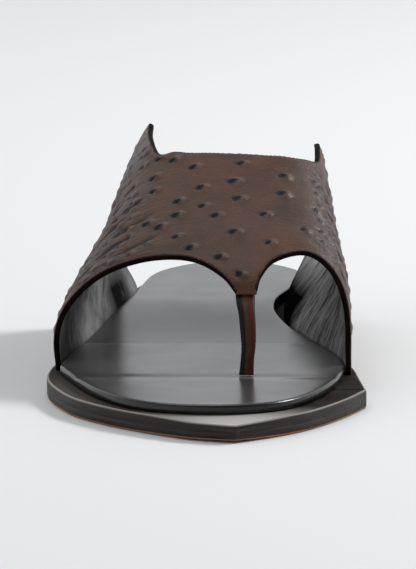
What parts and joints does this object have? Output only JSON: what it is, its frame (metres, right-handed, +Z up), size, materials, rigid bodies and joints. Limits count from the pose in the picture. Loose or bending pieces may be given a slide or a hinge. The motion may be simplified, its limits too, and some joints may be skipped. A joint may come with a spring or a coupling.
{
  "type": "leather sandal",
  "caption": "Flat leather toe-post sandal for the right foot, with a wide embossed strap open at toes and heel and an angular toe to its sole.",
  "frame": {"origin": "on the floor, under the middle of the sole's box", "axes": "+Z up, the toe points to -Y, the big-toe side is +X and the little-toe side is -X"},
  "size_m": [0.1043, 0.2639, 0.0711],
  "materials": {
    "sole_leather": "painted and waxed sole edge, satin",
    "heel_leather": "painted stacked leather, satin",
    "footbed_leather": "smooth black leather with a soft gloss",
    "quill_leather": "dark brown leather embossed with quill bumps, satin",
    "post_leather": "folded dark brown leather strip with painted edges"
  },
  "bodies": {
    "root": {"outsole": "sole_leather", "heel": "heel_leather", "insole": "footbed_leather", "upper": "quill_leather", "toe_post": "post_leather"}
  },
  "joints": []
}
